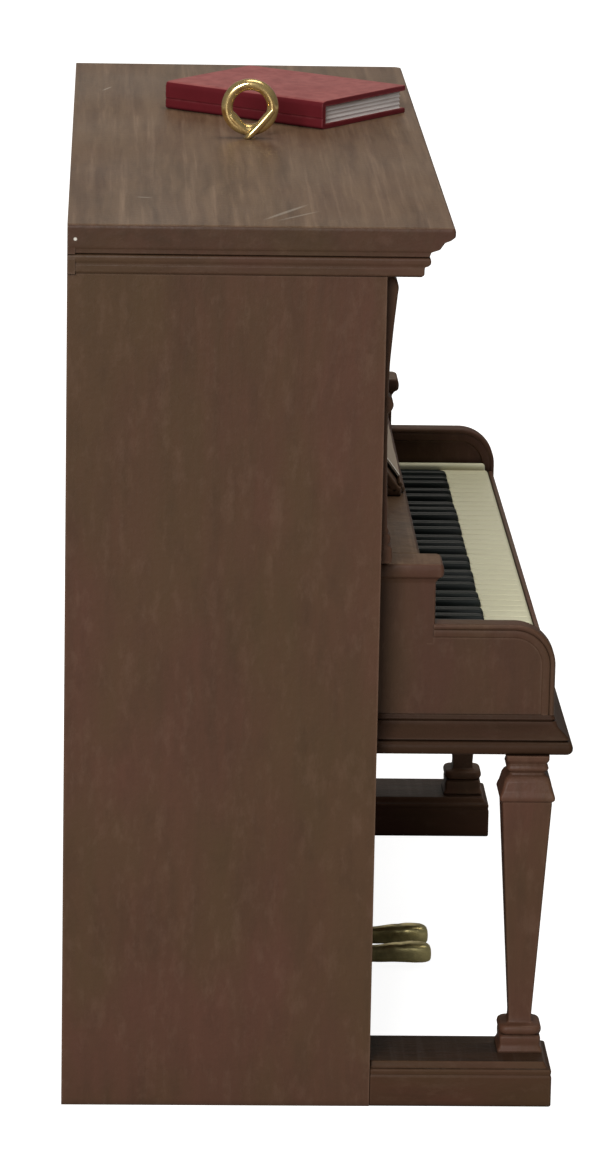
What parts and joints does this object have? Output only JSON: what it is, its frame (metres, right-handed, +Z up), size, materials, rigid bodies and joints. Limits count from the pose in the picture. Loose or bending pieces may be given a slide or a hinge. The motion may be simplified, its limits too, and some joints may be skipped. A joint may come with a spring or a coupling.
{
  "type": "upright piano ornament",
  "caption": "Miniature upright piano ornament: walnut-brown case, keyboard between round-shouldered arms, tapered legs, pedals, book and wire hanging eye on the lid.",
  "frame": {"origin": "centre of the outline in plan, at the height of the surface that the case and the toes stand on", "axes": "+X along the keyboard from bass to treble, +Y towards the rear cover, so the keyboard faces -Y, +Z up"},
  "size_m": [0.1048, 0.052, 0.0985],
  "materials": {
    "walnut_paint": "moulded resin with satin walnut-brown paint, lighter along worn edges",
    "lid_paint": "the same brown paint, greyer and lighter on top, faintly streaked",
    "ivory_plastic": "ivory satin moulding",
    "black_gloss": "gloss black",
    "paper_cream": "thin printed card, cream",
    "antique_gold": "gold paint with a dark patina",
    "polished_brass": "polished wire",
    "plain_brass": "turned bush",
    "crimson_binding": "matte crimson paint",
    "page_grey": "grooved, light grey",
    "cover_plastic": "fine-textured brown moulding",
    "black_plastic": "fine-textured",
    "button_plastic": "dark brown, satin",
    "screw_steel": "zinc plated",
    "speaker_paper": "black paper cone",
    "magnet_steel": "zinc plated",
    "cell_steel": "nickel plated",
    "board_green": "solder mask",
    "potting_black": "epoxy",
    "lead_red": "insulated lead",
    "lead_black": "insulated lead"
  },
  "bodies": {
    "case": {"side_panel_left": "walnut_paint", "side_panel_right": "walnut_paint", "bottom_board": "walnut_paint", "lid": "lid_paint", "cornice": "walnut_paint", "front_board": "walnut_paint", "upper_front_panel": "walnut_paint", "lower_front_panel": "walnut_paint", "pilaster_left": "walnut_paint", "pilaster_right": "walnut_paint", "key_bed": "walnut_paint", "arm_left": "walnut_paint", "arm_right": "walnut_paint", "key_block_left": "walnut_paint", "key_block_right": "walnut_paint", "shelf": "walnut_paint", "fallboard": "walnut_paint", "key_slip": "walnut_paint", "music_desk": "walnut_paint", "leg_left": "walnut_paint", "leg_right": "walnut_paint", "toe_left": "walnut_paint", "toe_right": "walnut_paint", "white_keyboard": "ivory_plastic", "black_keys": "black_gloss", "song_sheet": "paper_cream", "pedal_left": "antique_gold", "pedal_right": "antique_gold", "eye_socket": "plain_brass", "book_cover": "crimson_binding", "book_pages": "page_grey", "rear_cover": "cover_plastic", "battery_case": "black_plastic", "cover_screws": "screw_steel", "board_screws": "screw_steel", "speaker_frame": "black_plastic", "speaker_cone": "speaker_paper", "speaker_magnet": "magnet_steel", "button_cells": "cell_steel", "battery_contacts": "cell_steel", "circuit_board": "board_green", "press_switch": "black_plastic", "sound_chip": "potting_black", "board_parts": "potting_black", "speaker_leads": "lead_red", "battery_leads": "lead_black"},
    "eye": {"hanging_eye": "polished_brass"},
    "button": {"play_button": "button_plastic"},
    "door": {"battery_door": "cover_plastic"},
    "door_screw": {"door_screw": "screw_steel"}
  },
  "joints": [
    {"name": "eye_swivel", "type": "hinge", "parent": "case", "child": "eye", "pos_m": [0, 0.0068, 0.092], "axis": [0, 0, 1], "continuous": true},
    {"name": "play_press", "type": "slide", "parent": "case", "child": "button", "axis": [0, -1, 0], "range_m": [0, 0.0008], "stiffness_N_per_m": 600},
    {"name": "door_lift", "type": "slide", "parent": "case", "child": "door", "axis": [0, 1, 0], "range_m": [0, 0.02]},
    {"name": "door_screw_turn", "type": "hinge", "parent": "door", "child": "door_screw", "pos_m": [0.01255, 0.0256, 0.024], "axis": [0, 1, 0], "continuous": true}
  ]
}
